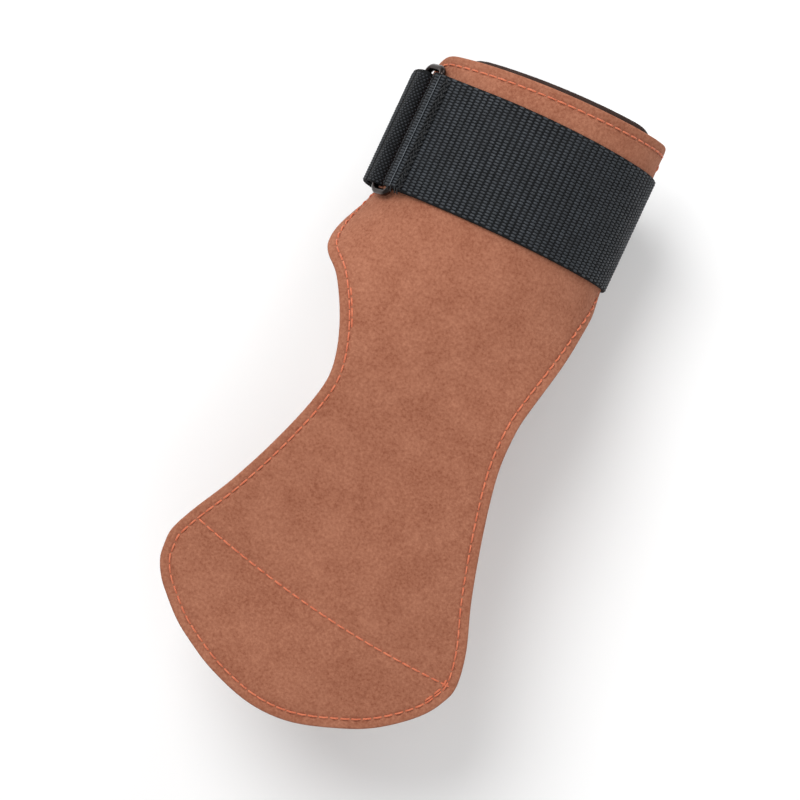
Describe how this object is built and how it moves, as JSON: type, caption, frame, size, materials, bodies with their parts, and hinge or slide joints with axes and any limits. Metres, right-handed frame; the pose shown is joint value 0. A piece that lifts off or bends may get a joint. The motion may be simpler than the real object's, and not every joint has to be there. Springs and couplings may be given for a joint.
{
  "type": "leather palm grip with wrist strap",
  "caption": "Leather palm flap with a padded wrist cuff, held on by a webbing strap that doubles back through a wire ring onto hook-and-loop tape.",
  "frame": {"origin": "centre of the wrist opening, in the middle of the strap's width", "axes": "+Y along the forearm away from the fingers, +Z out of the palm, +X towards the little finger of a right hand"},
  "size_m": [0.0985, 0.2097, 0.0661],
  "materials": {
    "suede_leather": "nubuck",
    "backing_leather": "suede",
    "pad_foam": "matte",
    "pad_lining": "knit",
    "webbing": "woven nylon",
    "loop_tape": "brushed loop",
    "hook_tape": "hook",
    "ring_metal": "gloss black",
    "black_thread": "twisted thread",
    "orange_thread": "twisted thread"
  },
  "bodies": {
    "cuff": {"cuff_face_leather": "suede_leather", "cuff_backing_leather": "backing_leather", "wrist_pad_foam": "pad_foam", "wrist_pad_lining": "pad_lining", "strap_webbing": "webbing", "loop_tape": "loop_tape", "ring_loop_stitching": "black_thread", "top_edge_stitching": "orange_thread", "heel_edge_stitching": "orange_thread"},
    "palm_flap": {"palm_face_leather": "suede_leather", "palm_backing_leather": "backing_leather", "palm_edge_stitching": "orange_thread", "cross_seam_stitching": "orange_thread"},
    "finger_flap": {"finger_face_leather": "suede_leather", "finger_backing_leather": "backing_leather", "finger_edge_stitching": "orange_thread"},
    "ring": {"strap_ring": "ring_metal", "strap_fold": "webbing"},
    "strap_tail": {"strap_tail": "webbing", "hook_tape": "hook_tape", "tail_end_stitching": "black_thread"}
  },
  "joints": [
    {"name": "palm_flex", "type": "hinge", "parent": "cuff", "child": "palm_flap", "pos_m": [0, -0.0735, 0.02552], "axis": [-1, 0, 0], "range_deg": [-25, 80]},
    {"name": "finger_fold", "type": "hinge", "parent": "palm_flap", "child": "finger_flap", "pos_m": [-0.0495, -0.13801, 0.02214], "axis": [-0.9878, 0.1553, 0.0081], "range_deg": [-20, 95]},
    {"name": "ring_swing", "type": "hinge", "parent": "cuff", "child": "ring", "pos_m": [-0.03413, 0, 0.0175], "axis": [0, 1, 0], "range_deg": [0, 25]},
    {"name": "tail_peel", "type": "hinge", "parent": "ring", "child": "strap_tail", "pos_m": [-0.04234, 0, 0.00874], "axis": [0, 1, 0], "range_deg": [0, 110]}
  ]
}
